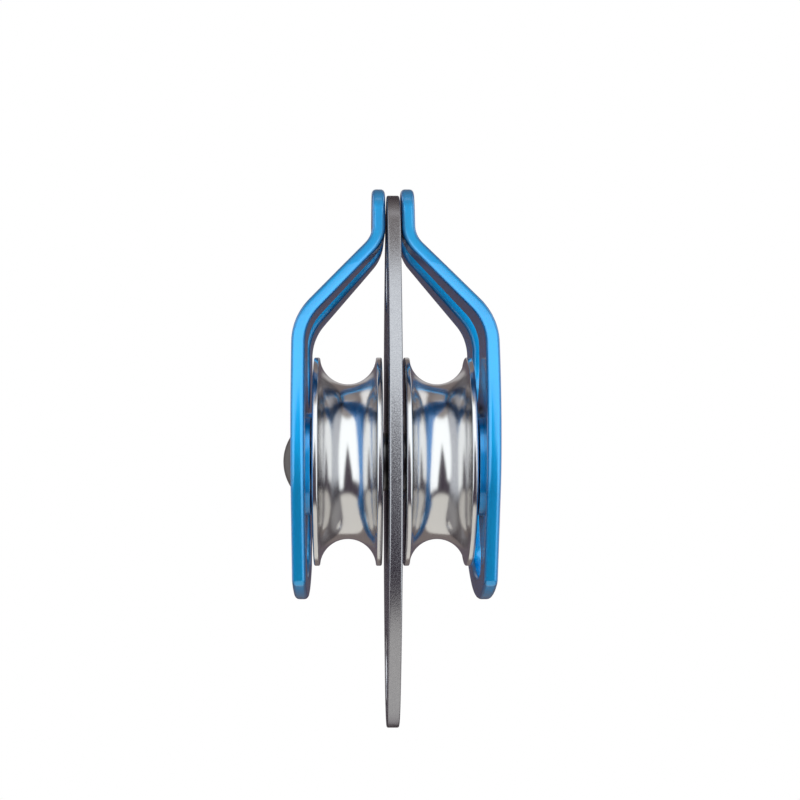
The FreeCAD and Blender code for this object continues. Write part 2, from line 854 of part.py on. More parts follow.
os.makedirs("parts", exist_ok=True)
for piece in pieces:
    piece.Shape.exportStep("parts/%s.step" % piece.Label)
    box = piece.Shape.BoundBox
    print("%-26s solids %d  volume %9.2f  x %7.2f %7.2f  y %7.2f %7.2f  z %8.2f %8.2f" % (
        piece.Label, len(piece.Shape.Solids), piece.Shape.Volume,
        box.XMin, box.XMax, box.YMin, box.YMax, box.ZMin, box.ZMax))
print("%d pieces" % len(pieces))
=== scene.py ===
import json
import math

import bmesh
import bpy
from mathutils import Matrix, Vector


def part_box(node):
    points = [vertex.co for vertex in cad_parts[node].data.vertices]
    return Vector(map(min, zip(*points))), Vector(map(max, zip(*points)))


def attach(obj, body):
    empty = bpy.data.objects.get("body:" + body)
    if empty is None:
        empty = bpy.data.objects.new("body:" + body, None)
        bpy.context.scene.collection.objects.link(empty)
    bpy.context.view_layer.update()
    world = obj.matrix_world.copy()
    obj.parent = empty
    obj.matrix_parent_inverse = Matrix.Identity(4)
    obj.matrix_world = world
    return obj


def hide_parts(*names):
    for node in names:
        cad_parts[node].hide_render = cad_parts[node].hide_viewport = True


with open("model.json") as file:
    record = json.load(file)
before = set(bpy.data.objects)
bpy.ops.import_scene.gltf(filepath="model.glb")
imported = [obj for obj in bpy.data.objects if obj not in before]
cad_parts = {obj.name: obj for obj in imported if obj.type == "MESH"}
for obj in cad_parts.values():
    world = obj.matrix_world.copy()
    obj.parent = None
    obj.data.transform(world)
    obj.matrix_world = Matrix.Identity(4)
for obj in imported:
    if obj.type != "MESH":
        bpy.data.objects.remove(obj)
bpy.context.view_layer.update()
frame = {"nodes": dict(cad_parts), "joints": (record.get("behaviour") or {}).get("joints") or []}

# Everything is drawn in millimetres about the axle, and goes to the frame's metres at the end.
mm = 0.001
axle = Vector(frame["joints"][0]["pos_m"])
toFrame = Matrix.Translation(axle) @ Matrix.Scale(mm, 4)
sides = {"left": -1, "right": 1}
nearest = {"points": 1e-4, "cuts": 1e-5}  # what lies nearer than this is one, in millimetres
shaft = {"radius": 6.0, "clearance": 0.01}


def station(node, end):
    # How far from the block's middle a right-hand piece starts (0) or ends (1), along the axle
    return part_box("right_" + node)[end].x / mm


def shaftBore():
    return shaft["radius"] + shaft["clearance"]


# Outlines, as points (across, up)

def polar(centre, radius, degrees):
    turn = math.radians(degrees)
    return (centre[0] + radius * math.cos(turn), centre[1] + radius * math.sin(turn))


def arc(centre, radius, start, end, step=3.0):
    count = max(2, math.ceil(abs(end - start) / step))
    return [polar(centre, radius, start + (end - start) * i / count) for i in range(count + 1)]


def circle(centre, radius, step=3.0):
    return arc(centre, radius, 0, 360, step)[:-1]


def roundCorner(before, corner, after, radius, steps=8):
    # The points of a corner between two straight sides, rounded to a radius
    corner = Vector(corner)
    back = (Vector(before) - corner).normalized()
    ahead = (Vector(after) - corner).normalized()
    half = back.angle(ahead) / 2
    middle = corner + (back + ahead).normalized() * radius / math.sin(half)
    first = corner + back * radius / math.tan(half) - middle
    turn = first.angle_signed(corner + ahead * radius / math.tan(half) - middle)
    points = []
    for i in range(steps + 1):
        spoke = first.copy()
        spoke.rotate(Matrix.Rotation(-turn * i / steps, 2))
        points.append(tuple(middle + spoke))
    return points


def mirrored(half):
    # Close a half outline, drawn upwards on the right, with its mirror image
    other = [(-across, up) for across, up in reversed(half)]
    return tidyLoop(half + other)


def tidyLoop(points):
    # Leave out points that repeat the one before them
    kept = []
    for point in points:
        if not kept or math.dist(point, kept[-1]) > nearest["points"]:
            kept.append(point)
    if math.dist(kept[0], kept[-1]) < nearest["points"]:
        kept.pop()
    return kept


# Meshes

def newObject(name, mesh):
    piece = bpy.data.objects.new(name, mesh)
    bpy.context.scene.collection.objects.link(piece)
    return piece


def plainMesh(piece):
    # The mesh of an object with its modifiers applied
    graph = bpy.context.evaluated_depsgraph_get()
    return bpy.data.meshes.new_from_object(piece.evaluated_get(graph))


def cleanMesh(mesh):
    # Merge doubles and turn all faces outwards
    shape = bmesh.new()
    shape.from_mesh(mesh)
    bmesh.ops.remove_doubles(shape, verts=shape.verts, dist=nearest["points"])
    bmesh.ops.dissolve_degenerate(shape, edges=shape.edges, dist=nearest["points"])
    bmesh.ops.recalc_face_normals(shape, faces=shape.faces)
    shape.to_mesh(mesh)
    shape.free()


def sheetMesh(name, loops, thickness, edgeRound):
    # A flat plate with rounded edges. It lies in the plane of its outline, middle at zero, and its
    # attribute tells the rolled faces (one) from the cut edges (zero); the blue finish paints its light
    # and shade by this attribute.
    curve = bpy.data.curves.new(name, "CURVE")
    curve.dimensions = "2D"
    curve.fill_mode = "BOTH"
    curve.extrude = thickness / 2 - edgeRound
    curve.bevel_depth = edgeRound
    curve.bevel_resolution = 3
    curve.offset = -edgeRound
    for loop in loops:
        spline = curve.splines.new("POLY")
        spline.points.add(len(loop) - 1)
        for point, (across, up) in zip(spline.points, loop):
            point.co = (across, up, 0, 1)
        spline.use_cyclic_u = True
    holder = newObject(name, curve)
    mesh = plainMesh(holder)
    bpy.data.objects.remove(holder)
    cleanMesh(mesh)
    flatness = mesh.attributes.new("flatness", "FLOAT", "FACE")
    for face in mesh.polygons:
        flatness.data[face.index].value = abs(face.normal.z)
    return mesh


def addPiece(name, mesh, body, nodes, material, flatFaces=False):
    # Bring a mesh to the frame, shade it, and let it stand for its CAD nodes
    mesh.transform(toFrame)
    mesh.materials.clear()
    mesh.materials.append(material)
    mesh.shade_smooth()
    piece = newObject(name, mesh)
    if flatFaces:
        weighted = piece.modifiers.new("weighted", "WEIGHTED_NORMAL")
        weighted.keep_sharp = True
        weighted.weight = 100
        finished = plainMesh(piece)
        piece.modifiers.clear()
        piece.data = finished
    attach(piece, body)
    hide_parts(*nodes)
    return piece


# Node helpers

def addNode(tree, kind, settings=None, inputs=None):
    node = tree.nodes.new(kind)
    for key, setting in (settings or {}).items():
        setattr(node, key, setting)
    for key, given in (inputs or {}).items():
        if isinstance(given, bpy.types.NodeSocket):
            tree.links.new(given, node.inputs[key])
        else:
            node.inputs[key].default_value = given
    return node


def mathNode(tree, operation, *given):
    node = addNode(tree, "ShaderNodeMath", {"operation": operation}, dict(enumerate(given)))
    return node.outputs[0]


def newMaterial(name, colour, metallic, roughness):
    material = bpy.data.materials.new(name)
    material.use_nodes = True
    shader = material.node_tree.nodes["Principled BSDF"]
    shader.inputs["Base Color"].default_value = (*colour, 1)
    shader.inputs["Metallic"].default_value = metallic
    shader.inputs["Roughness"].default_value = roughness
    return material, material.node_tree, shader


def noise(tree, place, scale, detail=2.0):
    # The scale is in spots per metre
    spots = {"Vector": place, "Scale": scale, "Detail": detail}
    return addNode(tree, "ShaderNodeTexNoise", inputs=spots).outputs["Fac"]


def between(tree, fac, low, high):
    # A noise lies mostly between 0.3 and 0.7, and that stretch is brought to the range
    limits = {"Value": fac, "From Min": 0.3, "From Max": 0.7, "To Min": low, "To Max": high}
    return addNode(tree, "ShaderNodeMapRange", inputs=limits).outputs[0]


def mixColour(tree, share, under, over):
    # Each of the two colours is a constant or another node's output
    ends = {"Factor": share}
    for key, colour in (("A", under), ("B", over)):
        ends[key] = (*colour, 1) if isinstance(colour, tuple) else colour
    return addNode(tree, "ShaderNodeMix", {"data_type": "RGBA"}, ends).outputs["Result"]


def bump(tree, shader, height, strength, distance):
    node = addNode(tree, "ShaderNodeBump", inputs={"Height": height})
    node.inputs["Strength"].default_value = strength
    node.inputs["Distance"].default_value = distance
    tree.links.new(node.outputs[0], shader.inputs["Normal"])


# Materials

# The edge colours are the dye with painted light, and the face colours are the same dye with painted shade
blueFinish = {
    "edge": ((0.001, 0.455, 1.0), (0.002, 0.495, 1.0)),
    "face": ((0.007, 0.235, 0.645), (0.009, 0.258, 0.68)),
    "flatness": (0.3, 0.95),  # where the edge's colour ends and the face's begins
    "cloudScale": 90,
    "cloudDetail": 3,
    "grainScale": 4200,
    "metallic": 0.85,
    "roughness": (0.38, 0.48),
    "bumpStrength": 0.3,
    "bumpDistance": 0.00002,
    "specularTint": (0.34, 0.30, 0.40, 1),
    "coatIor": 1.8,
    "coatRoughness": 0.12,
}


def blueAnodised():
    # One dye in two painted tones: the cut edges are painted lighter as painted light, and the rolled
    # faces darker as painted shade
    look = blueFinish
    material, tree, shader = newMaterial(
        "blueAnodised", look["edge"][0], look["metallic"], look["roughness"][0])
    place = addNode(tree, "ShaderNodeTexCoord").outputs["Object"]
    flatness = addNode(tree, "ShaderNodeAttribute", {"attribute_name": "flatness"}).outputs["Fac"]
    limits = {"Value": flatness, "From Min": look["flatness"][0], "From Max": look["flatness"][1]}
    flat = addNode(tree, "ShaderNodeMapRange", inputs=limits).outputs[0]
    cloud = between(tree, noise(tree, place, look["cloudScale"], look["cloudDetail"]), 0, 1)
    edge = mixColour(tree, cloud, *look["edge"])
    face = mixColour(tree, cloud, *look["face"])
    # Painted light and shade: the lighter edge colour where the flatness is low, the darker face colour
    # where it is high
    tree.links.new(mixColour(tree, flat, edge, face), shader.inputs["Base Color"])
    grain = noise(tree, place, look["grainScale"])
    tree.links.new(between(tree, grain, *look["roughness"]), shader.inputs["Roughness"])
    bump(tree, shader, grain, look["bumpStrength"], look["bumpDistance"])
    shader.inputs["Specular Tint"].default_value = look["specularTint"]
    shader.inputs["Coat Weight"].default_value = 1.0
    shader.inputs["Coat IOR"].default_value = look["coatIor"]
    shader.inputs["Coat Roughness"].default_value = look["coatRoughness"]
    return material


greyFinish = {
    "colours": ((0.408, 0.41, 0.438), (0.55, 0.554, 0.582)),
    "grainScale": 3800,
    "roughness": (0.20, 0.29),
    "bumpStrength": 0.7,
    "bumpDistance": 0.00003,
    "specularTint": (0.35, 0.32, 0.35, 1),
}


def greyAnodised():
    look = greyFinish
    material, tree, shader = newMaterial("greyAnodised", look["colours"][0], 1.0, look["roughness"][0])
    place = addNode(tree, "ShaderNodeTexCoord").outputs["Object"]
    grain = noise(tree, place, look["grainScale"])
    colour = mixColour(tree, between(tree, grain, 0, 1), *look["colours"])
    tree.links.new(colour, shader.inputs["Base Color"])
    tree.links.new(between(tree, grain, *look["roughness"]), shader.inputs["Roughness"])
    bump(tree, shader, grain, look["bumpStrength"], look["bumpDistance"])
    shader.inputs["Specular Tint"].default_value = look["specularTint"]
    return material


turnedFinish = {
    "ringScale": 9000.0,
    "ringStrength": 0.15,
    "ringDepth": 0.000004,
    "smoothest": 0.8,
    "roughest": 1.25,
}


def turnedSteel(name, colour, roughness, ringStrength=turnedFinish["ringStrength"]):
    # Turned metal: fine rings round the axle, as bump and a little roughness
    look = turnedFinish
    material, tree, shader = newMaterial(name, colour, 1.0, roughness)
    place = addNode(tree, "ShaderNodeTexCoord").outputs["Object"]
    centred = addNode(tree, "ShaderNodeVectorMath", {"operation": "SUBTRACT"}, {0: place, 1: axle})
    split = addNode(tree, "ShaderNodeSeparateXYZ", inputs={0: centred.outputs[0]})
    radius = mathNode(tree, "MULTIPLY", split.outputs[1], split.outputs[1])
    radius = mathNode(tree, "MULTIPLY_ADD", split.outputs[2], split.outputs[2], radius)
    radius = mathNode(tree, "SQRT", radius)
    rings = addNode(tree, "ShaderNodeCombineXYZ", inputs={0: split.outputs[0], 1: radius})
    ring = noise(tree, rings.outputs[0], look["ringScale"])
    uneven = between(tree, ring, roughness * look["smoothest"], roughness * look["roughest"])
    tree.links.new(uneven, shader.inputs["Roughness"])
    bump(tree, shader, ring, ringStrength, look["ringDepth"])
    return material


finishes = {
    "blue": blueAnodised(),
    "grey": greyAnodised(),
    "polished": turnedSteel("polishedAluminium", (0.82, 0.815, 0.81), 0.17, 0.9),
    "axle": turnedSteel("darkSteel", (0.13, 0.12, 0.12), 0.38),
    "ground": turnedSteel("groundSteel", (0.62, 0.61, 0.60), 0.22),
    "spacer": turnedSteel("turnedSteel", (0.45, 0.45, 0.45), 0.30),
    "bearing": turnedSteel("bearingSteel", (0.70, 0.70, 0.71), 0.12),
    "cage": turnedSteel("pressedSteel", (0.55, 0.53, 0.50), 0.35),
    "shield": turnedSteel("shieldSteel", (0.50, 0.50, 0.51), 0.30),
    "clip": turnedSteel("blackenedSteel", (0.06, 0.06, 0.065), 0.40),
}
print("materials made:", len(finishes))


# Side plates: a flat plate with rounded edges, cut into rows where it bends, and then bent.
# Heights are above the axle. A slot opens the plate above the axle, and a window below it.

plate = {
    "edgeRound": 1.0,
    "halfWidth": 33.0,
    "bottom": -33.4,
    "bottomRadius": 56.0,
    "bottomAngle": 23.8,
    "heelLength": 1.4,
    "heelRound": 2.4,
    "hipHeight": -1.7,
    "hipRound": 34.0,
    "shoulderHeight": 20.0,
    "shoulderRound": 60.0,
    "neckHalfWidth": 19.0,
    "neckHeight": 46.0,
    "neckRound": 14.0,
    "tabRadius": 12.0,
    "tabTop": 66.4,
    "thickness": 3.2,
    "slopeAngle": 42.5,
    "bendHeight": 33.1,
    "lowerBend": 12.0,
    "upperBend": 6.5,
    "rowStep": 0.5,
    "arcStep": 1.5,
    "cornerStep": 9.0,
    "slotRadius": 10.0,
    "slotHeight": 23.5,
    "slotTopRadius": 6.2,
    "slotTop": 54.6,
    "windowInner": 13.0,
    "windowOuter": 28.4,
    "windowAngle": 33.0,
    "windowCorner": 3.5,
    "boreRadius": 7.55,
}


def tangentLean(near, far, gap):
    # The angle at which a line leaves one circle to touch the next, above the level
    return math.degrees(math.asin((near - far) / gap))


def plateOutline():
    size = plate
    crown = (0, size["bottom"] + size["bottomRadius"])
    half = arc(crown, size["bottomRadius"], -90, size["bottomAngle"] - 90, size["arcStep"])
    heel = polar(half[-1], size["heelLength"], size["bottomAngle"])
    hip = (size["halfWidth"], size["hipHeight"])
    shoulder = (size["halfWidth"], size["shoulderHeight"])
    neck = (size["neckHalfWidth"], size["neckHeight"])
    tab = (0, size["tabTop"] - size["tabRadius"])
    reach = math.dist(neck, tab)
    rise = math.atan2(tab[1] - neck[1], neck[0])
    tabAngle = math.degrees(math.acos(size["tabRadius"] / reach) - rise)
    tabStart = polar(tab, size["tabRadius"], tabAngle)
    half += roundCorner(half[-1], heel, hip, size["heelRound"])
    half += roundCorner(heel, hip, shoulder, size["hipRound"])
    half += roundCorner(hip, shoulder, neck, size["shoulderRound"])
    half += roundCorner(shoulder, neck, tabStart, size["neckRound"])
    half += arc(tab, size["tabRadius"], tabAngle, 90)
    return mirrored(half)


def slotOutline():
    size = plate
    top = (0, size["slotTop"] - size["slotTopRadius"])
    low = (0, size["slotHeight"])
    lean = tangentLean(size["slotRadius"], size["slotTopRadius"], top[1] - low[1])
    half = arc(low, size["slotRadius"], -90, lean)
    half += arc(top, size["slotTopRadius"], lean, 90)
    return mirrored(half)


def windowOutline():
    # A ring sector below the axle with rounded corners
    size = plate
    corner = size["windowCorner"]
    side = size["windowAngle"] - 90
    near = size["windowInner"] + corner
    far = size["windowOuter"] - corner
    nearAngle = side - math.degrees(math.asin(corner / near))
    farAngle = side - math.degrees(math.asin(corner / far))
    nearMiddle = polar((0, 0), near, nearAngle)
    farMiddle = polar((0, 0), far, farAngle)
    half = arc((0, 0), size["windowOuter"], -90, farAngle)
    half += arc(farMiddle, corner, farAngle, side + 90, size["cornerStep"])
    half += arc(nearMiddle, corner, side + 90, nearAngle + 180, size["cornerStep"])
    half += arc((0, 0), size["windowInner"], nearAngle, -90)
    return mirrored(half)


def plateProfile():
    # The X of the plate's outer and inner face at a height, and the heights of its rows
    size = plate
    outerX = station("side_plate", 1)
    innerX = outerX - size["thickness"]
    tabX = station("side_plate", 0)
    slope = math.radians(size["slopeAngle"])
    lean = math.tan(slope)
    halfTan = math.tan(slope / 2)
    lowerOuter = size["lowerBend"] + size["thickness"]
    upperInner = size["upperBend"] + size["thickness"]
    lowerStart = size["bendHeight"] - lowerOuter * halfTan
    rise = (outerX - tabX - size["thickness"]) / lean
    upperEnd = size["bendHeight"] + rise + size["upperBend"] * halfTan

    def face(height, cheekX, tabFaceX, lowerRadius, upperRadius):
        lowerTurn = lowerRadius * math.sin(slope)
        upperTurn = upperRadius * math.sin(slope)
        if height <= lowerStart:
            return cheekX
        if height >= upperEnd:
            return tabFaceX
        if height < lowerStart + lowerTurn:
            drop = height - lowerStart
            return cheekX - lowerRadius + math.sqrt(lowerRadius ** 2 - drop ** 2)
        if height > upperEnd - upperTurn:
            drop = upperEnd - height
            return tabFaceX + upperRadius - math.sqrt(upperRadius ** 2 - drop ** 2)
        start = cheekX - lowerRadius * (1 - math.cos(slope))
        return start - (height - lowerStart - lowerTurn) * lean

    def bothFaces(height):
        outer = face(height, outerX, tabX + size["thickness"], lowerOuter, size["upperBend"])
        inner = face(height, innerX, tabX, size["lowerBend"], upperInner)
        return outer, inner

    rows = []
    bends = ((lowerStart, lowerStart + lowerOuter * math.sin(slope)),
             (upperEnd - upperInner * math.sin(slope), upperEnd))
    for start, end in bends:
        count = math.ceil((end - start) / size["rowStep"])
        rows += [start + (end - start) * i / count for i in range(count + 1)]
    return bothFaces, rows


def cutRows(shape, heights, direction):
    for height in heights:
        everything = shape.verts[:] + shape.edges[:] + shape.faces[:]
        bmesh.ops.bisect_plane(shape, geom=everything, dist=nearest["cuts"],
                               plane_co=direction * height, plane_no=direction)


def addToPlate(name, mesh, side):
    node = side + "_side_plate"
    return addPiece(name, mesh, node, [node], finishes["blue"], flatFaces=True)


def makeSidePlate(side, sign):
    loops = [plateOutline(), slotOutline(), windowOutline(), circle((0, 0), plate["boreRadius"])]
    mesh = sheetMesh(side + "Plate", loops, plate["thickness"], plate["edgeRound"])
    bothFaces, rows = plateProfile()
    shape = bmesh.new()
    shape.from_mesh(mesh)
    cutRows(shape, rows, Vector((0, 1, 0)))
    half = plate["thickness"] / 2
    for vertex in shape.verts:
        across, height, depth = vertex.co
        outer, inner = bothFaces(height)
        share = (depth + half) / plate["thickness"]
        vertex.co = (sign * (inner + (outer - inner) * share), sign * across, height)
    bmesh.ops.recalc_face_normals(shape, faces=shape.faces)
    shape.to_mesh(mesh)
    shape.free()
    return addToPlate(side + "SidePlate", mesh, side)


for side, sign in sides.items():
    made = makeSidePlate(side, sign)
    print("side plate:", made.name, len(made.data.polygons), "faces")


# A low pad on each plate's inner face: a collar round the bush's flange with a wing to either side

pad = {
    "reach": 24.6,
    "collar": 12.0,
    "hole": 10.7,
    "top": 10.4,
    "bottom": -12.6,
    "cornerRound": 9.0,
    "windowAngle": 36.5,
    "height": 0.95,
    "sunk": 0.3,  # how far the pad goes on into the plate
    "edgeRound": 0.2,
}


def padOutline():
    size = pad
    side = size["windowAngle"] - 90
    low = (size["reach"], size["bottom"])
    high = (size["reach"], size["top"])
    collarHigh = math.degrees(math.asin(size["top"] / size["collar"]))
    # Beside the window, the collar's end runs straight out to the wing's lower edge
    start = (size["bottom"] / math.tan(math.radians(side)), size["bottom"])
    half = arc((0, 0), size["collar"], -90, side) + [start]
    half += roundCorner(start, low, high, size["cornerRound"])
    half += roundCorner(low, high, (0, size["top"]), size["cornerRound"])
    half += arc((0, 0), size["collar"], collarHigh, 90)
    return mirrored(half)


def makePad(side, sign):
    thickness = pad["height"] + pad["sunk"]
    loops = [padOutline(), circle((0, 0), pad["hole"])]
    mesh = sheetMesh(side + "Pad", loops, thickness, pad["edgeRound"])
    inner = station("side_plate", 1) - plate["thickness"]
    middle = inner + pad["sunk"] - thickness / 2
    for vertex in mesh.vertices:
        across, height, depth = vertex.co
        vertex.co = (sign * (middle + depth), sign * across, height)
    return addToPlate(side + "PlatePad", mesh, side)


for side, sign in sides.items():
    made = makePad(side, sign)
    print("plate pad:", made.name, len(made.data.polygons), "faces")


# Centre plate: a flat oval with two eyes and the bore for the axle

centre = {
    "edgeRound": 0.4,
    "halfLength": 64.7,
    "halfWidth": 36.0,
    "endRadius": 22.0,
    "eyeRadius": 9.5,
    "becketDepth": 50.5,
    "becketRadius": 9.0,
    "arcStep": 1.5,
}


def makeCentrePlate():
    size = centre
    offset = size["halfLength"] - size["endRadius"]
    spare = size["halfWidth"] - size["endRadius"]
    sideRadius = (offset ** 2 + size["halfWidth"] ** 2 - size["endRadius"] ** 2) / (2 * spare)
    sideMiddle = (size["halfWidth"] - sideRadius, 0)
    join = math.degrees(math.atan2(offset, -sideMiddle[0]))
    half = arc((0, -offset), size["endRadius"], -90, -join, size["arcStep"])
    half += arc(sideMiddle, sideRadius, -join, join, size["arcStep"])
    half += arc((0, offset), size["endRadius"], join, 90, size["arcStep"])
    loops = [
        mirrored(half),
        circle((0, -axle.z / mm), size["eyeRadius"]),
        circle((0, -size["becketDepth"]), size["becketRadius"]),
        circle((0, 0), shaftBore()),
    ]
    low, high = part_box("centre_plate")
    mesh = sheetMesh("centrePlate", loops, (high.x - low.x) / mm, size["edgeRound"])
    # The outline was drawn across and up, and its thickness goes along the axle
    mesh.transform(Matrix(((0, 0, 1, 0), (1, 0, 0, 0), (0, 1, 0, 0), (0, 0, 0, 1))))
    return addPiece("centrePlate", mesh, "frame", ["centre_plate"],
                    finishes["grey"], flatFaces=True)


print("centre plate:", len(makeCentrePlate().data.polygons), "faces")


# Turned pieces: a section, as (distance along the axle, radius), taken round the axle

def turnedTree():
    # Geometry Nodes: put a grid's rows on the section's points and its columns round the axle
    tree = bpy.data.node_groups.new("turnedPiece", "GeometryNodeTree")
    sockets = tree.interface
    sockets.new_socket("Section", in_out="INPUT", socket_type="NodeSocketGeometry")
    sockets.new_socket("Steps Round", in_out="INPUT", socket_type="NodeSocketInt")
    sockets.new_socket("Merge Distance", in_out="INPUT", socket_type="NodeSocketFloat")
    sockets.new_socket("Finish", in_out="INPUT", socket_type="NodeSocketMaterial")
    sockets.new_socket("Turned", in_out="OUTPUT", socket_type="NodeSocketGeometry")
    given = addNode(tree, "NodeGroupInput").outputs
    counted = addNode(tree, "GeometryNodeAttributeDomainSize", inputs={"Geometry": given["Section"]})
    rowCount = counted.outputs["Point Count"]
    columns = mathNode(tree, "ADD", given["Steps Round"], 1.0)
    grid = addNode(tree, "GeometryNodeMeshGrid", inputs={
        "Size X": 1.0, "Size Y": 1.0, "Vertices X": rowCount, "Vertices Y": columns})
    place = addNode(tree, "GeometryNodeInputPosition").outputs[0]
    split = addNode(tree, "ShaderNodeSeparateXYZ", inputs={0: place})
    lastRow = mathNode(tree, "SUBTRACT", rowCount, 1.0)
    row = mathNode(tree, "ADD", split.outputs["X"], 0.5)
    row = mathNode(tree, "ROUND", mathNode(tree, "MULTIPLY", row, lastRow))
    turn = mathNode(tree, "ADD", split.outputs["Y"], 0.5)
    turn = mathNode(tree, "MULTIPLY", turn, math.tau)
    sample = addNode(tree, "GeometryNodeSampleIndex", {"data_type": "FLOAT_VECTOR"}, {
        "Geometry": given["Section"], "Value": place, "Index": row})
    point = addNode(tree, "ShaderNodeSeparateXYZ", inputs={0: sample.outputs[0]})
    radius = point.outputs["Z"]
    across = mathNode(tree, "MULTIPLY", radius, mathNode(tree, "SINE", turn))
    up = mathNode(tree, "MULTIPLY", radius, mathNode(tree, "COSINE", turn))
    placed = addNode(tree, "ShaderNodeCombineXYZ", inputs={0: point.outputs["X"], 1: across, 2: up})
    moved = addNode(tree, "GeometryNodeSetPosition", inputs={
        "Geometry": grid.outputs["Mesh"], "Position": placed.outputs[0]})
    merged = addNode(tree, "GeometryNodeMergeByDistance", inputs={
        "Geometry": moved.outputs[0], "Distance": given["Merge Distance"]})
    real = addNode(tree, "GeometryNodeRealizeInstances", inputs={0: merged.outputs[0]})
    finished = addNode(tree, "GeometryNodeSetMaterial", inputs={
        "Geometry": real.outputs[0], "Material": given["Finish"]})
    addNode(tree, "NodeGroupOutput", inputs={"Turned": finished.outputs[0]})
    return tree


turning = {"tree": turnedTree(), "stepsRound": 160, "mergeDistance": 0.001, "sharpAngle": 40.0}


def setInput(modifier, name, given):
    for item in modifier.node_group.interface.items_tree:
        if item.item_type == "SOCKET" and item.in_out == "INPUT" and item.name == name:
            modifier[item.identifier] = given


def turned(name, side, body, node, material, section, closed=True, steps=None):
    # Turn a section about the axle. A left-hand piece has its section the other way round.
    sign = sides[side]
    points = section
    if closed:
        points = tidyLoop(section)
        points.append(points[0])
    mesh = bpy.data.meshes.new(name)
    edges = [(i, i + 1) for i in range(len(points) - 1)]
    mesh.from_pydata([(sign * along, 0, radius) for along, radius in points], edges, [])
    holder = newObject(name, mesh)
    modifier = holder.modifiers.new("turned", "NODES")
    modifier.node_group = turning["tree"]
    setInput(modifier, "Steps Round", steps or turning["stepsRound"])
    setInput(modifier, "Merge Distance", turning["mergeDistance"])
    setInput(modifier, "Finish", material)
    solid = plainMesh(holder)
    holder.modifiers.clear()
    bpy.data.objects.remove(holder)
    cleanMesh(solid)
    piece = addPiece(name, solid, body, [node], material)
    piece.data.set_sharp_from_angle(angle=math.radians(turning["sharpAngle"]))
    return piece


def roundedSection(corners, steps=4):
    # Round the corners of a closed section, given as (along, radius, rounding)
    points = []
    for i, (along, radius, rounding) in enumerate(corners):
        before = corners[i - 1][:2]
        after = corners[(i + 1) % len(corners)][:2]
        if rounding:
            points += roundCorner(before, (along, radius), after, rounding, steps)
        else:
            points.append((along, radius))
    return points


sheave = {
    "radius": 25.4,
    "grooveRadius": 6.85,
    "grooveFloor": 18.9,
    "rimRound": 0.32,
    "bearingRadius": 14.0,
    "lipStep": 1.5,
    "lipWidth": 4.2,
    "bearingWidth": 8.0,
    "clipThickness": 1.25,
    "clipDepth": 0.7,
    "edgeRound": 0.25,
    "stepsRound": 224,
    "grooveSteps": 48,
    "rimSpare": 4.0,  # degrees of the groove left to the rim's rounding
}


def sheaveSection():
    size = sheave
    inner = station("sheave", 0)
    outer = station("sheave", 1)
    middle = (inner + outer) / 2
    seat = inner + size["lipWidth"]
    clip = seat + size["bearingWidth"]
    centreOfGroove = (middle, size["grooveFloor"] + size["grooveRadius"])
    drop = math.degrees(math.asin((centreOfGroove[1] - size["radius"]) / size["grooveRadius"]))
    half = size["grooveRadius"] * math.cos(math.radians(drop))
    start = -drop - size["rimSpare"]
    groove = arc(centreOfGroove, size["grooveRadius"], start, -180 - start, 180 / size["grooveSteps"])
    lip = size["bearingRadius"] - size["lipStep"]
    corner = size["edgeRound"]
    rim = size["rimRound"]
    bore = [
        (inner, lip, corner),
        (seat, lip, 0),
        (seat, size["bearingRadius"], 0),
        (clip, size["bearingRadius"], 0),
        (clip, size["bearingRadius"] + size["clipDepth"], 0),
        (clip + size["clipThickness"], size["bearingRadius"] + size["clipDepth"], 0),
        (clip + size["clipThickness"], size["bearingRadius"], 0),
        (outer, size["bearingRadius"], corner),
        (outer, size["radius"], rim),
        (middle + half, size["radius"], rim),
    ]
    bore += [(along, radius, 0) for along, radius in groove]
    bore += [(middle - half, size["radius"], rim), (inner, size["radius"], rim)]
    return roundedSection(bore)


axleShape = {
    "headRadius": 7.8,
    "headHeight": 3.05,
    "edgeRound": 0.25,
    "screwRadius": 4.0,
    "screwLength": 24.0,
    "tapClearance": 0.05,
    "tapSpare": 3.0,
    "socketWidth": 5.0,
    "socketDepth": 2.0,
    "domeSteps": 16,
}


def domeSection(seat):
    # The head's outside, from its rim at the seat to the axle's middle
    size = axleShape
    ball = (size["headRadius"] ** 2 + size["headHeight"] ** 2) / (2 * size["headHeight"])
    middle = (seat + size["headHeight"] - ball, 0)
    rim = math.degrees(math.asin(size["headRadius"] / ball))
    dome = arc(middle, ball, rim, 0, rim / size["domeSteps"])
    corner = roundCorner((seat, 0), (seat, size["headRadius"]), dome[1], size["edgeRound"], 4)
    return corner + dome[1:-1] + [(seat + size["headHeight"], 0)]


def makeAxle():
    # The headed pin comes from the left, and the screw closes it from the right
    size = axleShape
    seat = station("plate_bush", 1)
    tip = seat - size["screwLength"]
    tapEnd = size["tapSpare"] - tip
    tap = size["screwRadius"] + size["tapClearance"]
    pin = [(tapEnd, 0), (tapEnd, tap), (-seat, tap), (-seat, shaft["radius"])] + domeSection(seat)
    turned("axlePin", "left", "frame", "axle_pin", finishes["axle"], pin, closed=False)
    screw = [(tip, 0), (tip, size["screwRadius"]), (seat, size["screwRadius"])] + domeSection(seat)
    piece = turned(
        "axleScrew", "right", "frame", "axle_screw", finishes["axle"], screw, closed=False)
    cutSocket(piece, seat + size["headHeight"])


